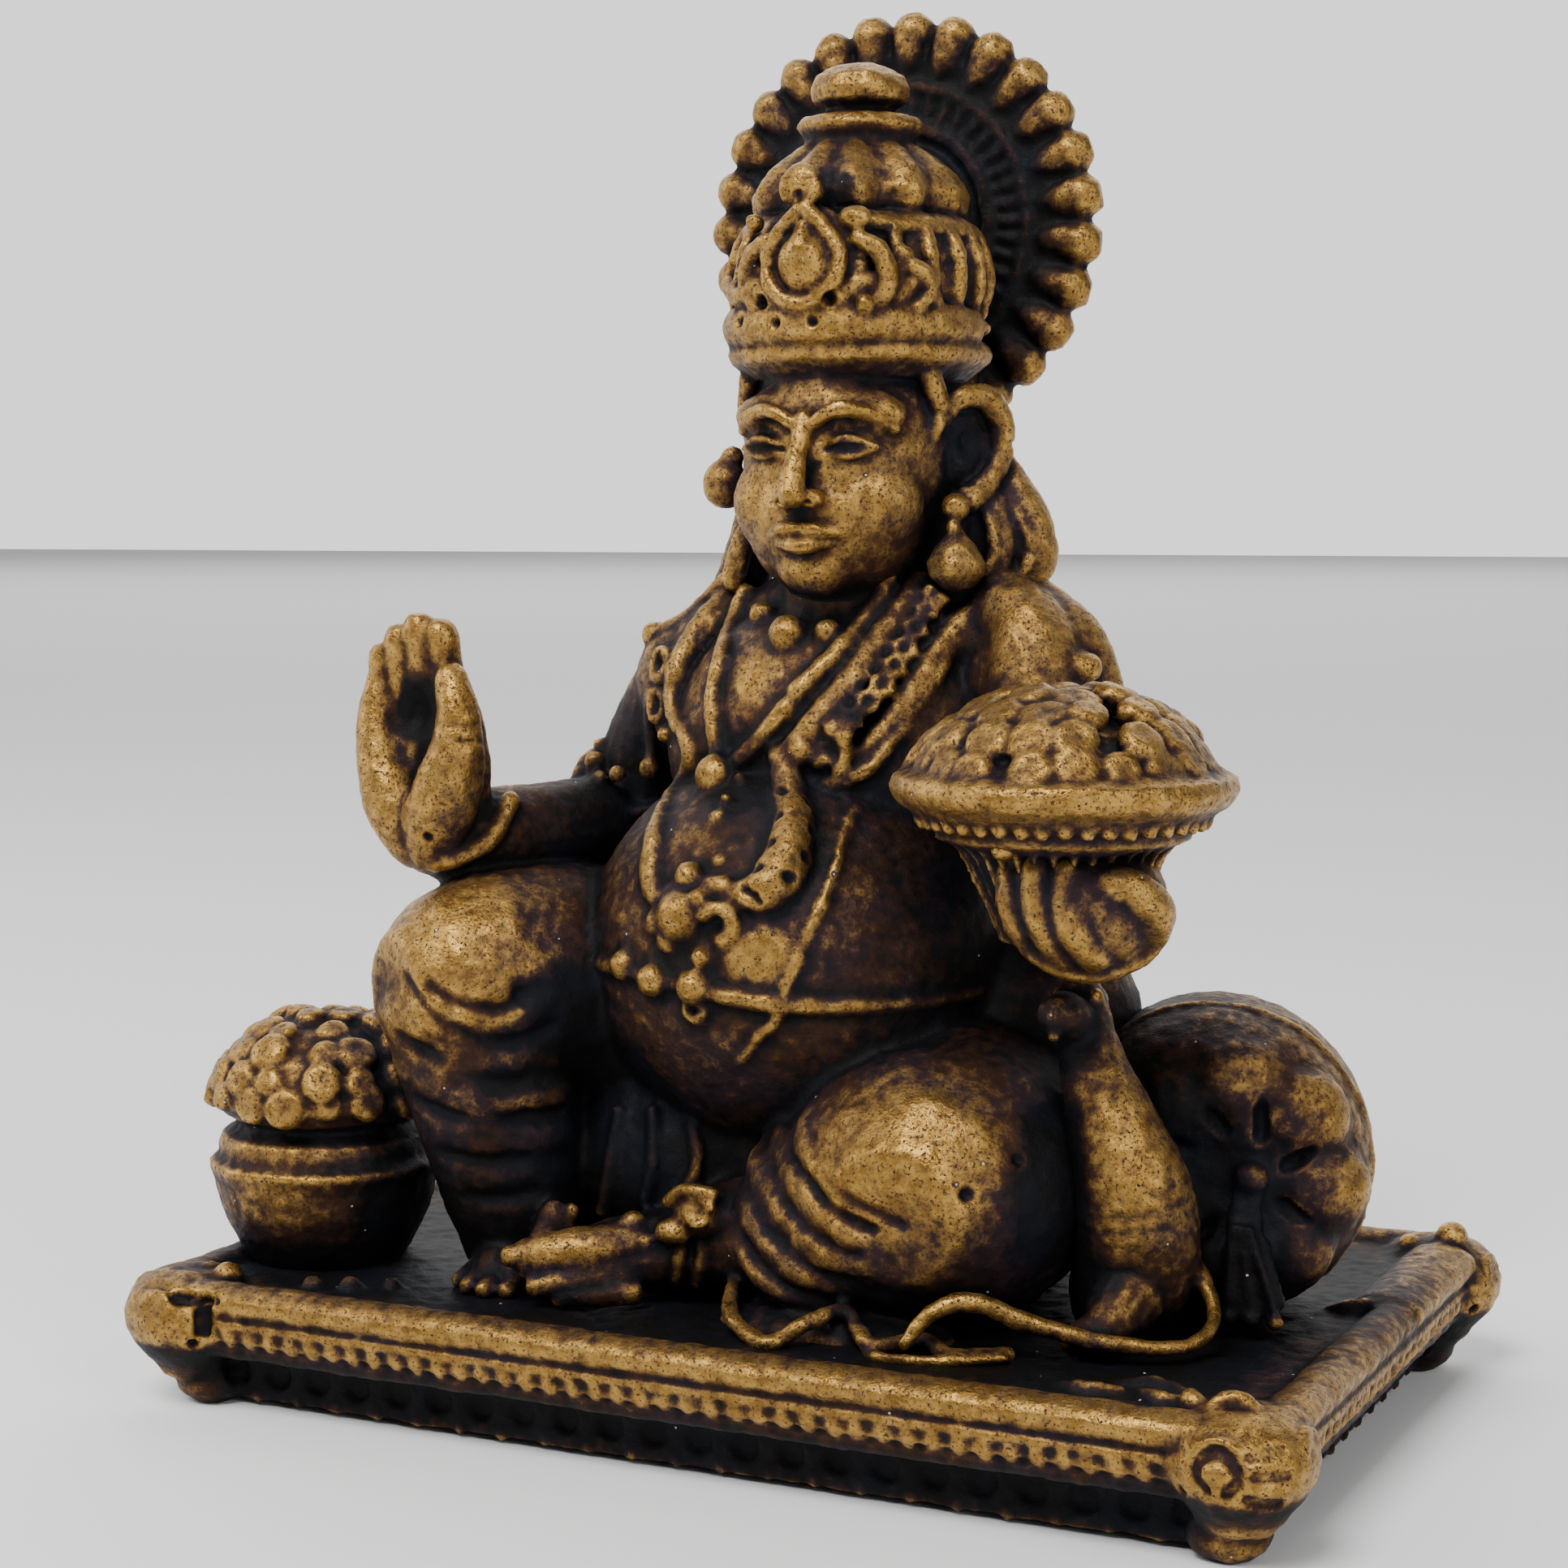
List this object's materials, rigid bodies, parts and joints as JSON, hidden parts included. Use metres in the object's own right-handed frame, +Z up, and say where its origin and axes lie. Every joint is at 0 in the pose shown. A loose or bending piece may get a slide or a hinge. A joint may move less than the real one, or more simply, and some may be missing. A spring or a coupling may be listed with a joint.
{
  "type": "kubera statue",
  "caption": "Small cast brass kubera idol, seated on a low footed base with a coin pot, a coin bowl, a mongoose, a bolster and a halo.",
  "frame": {"origin": "on the ground under the middle of the base", "axes": "+Z up, the figure faces -Y, its raised hand is towards -X"},
  "size_m": [0.0506, 0.0332, 0.0579],
  "materials": {
    "antique_brass": "satin"
  },
  "bodies": {
    "root": {"kubera_statue": "antique_brass"}
  },
  "joints": []
}
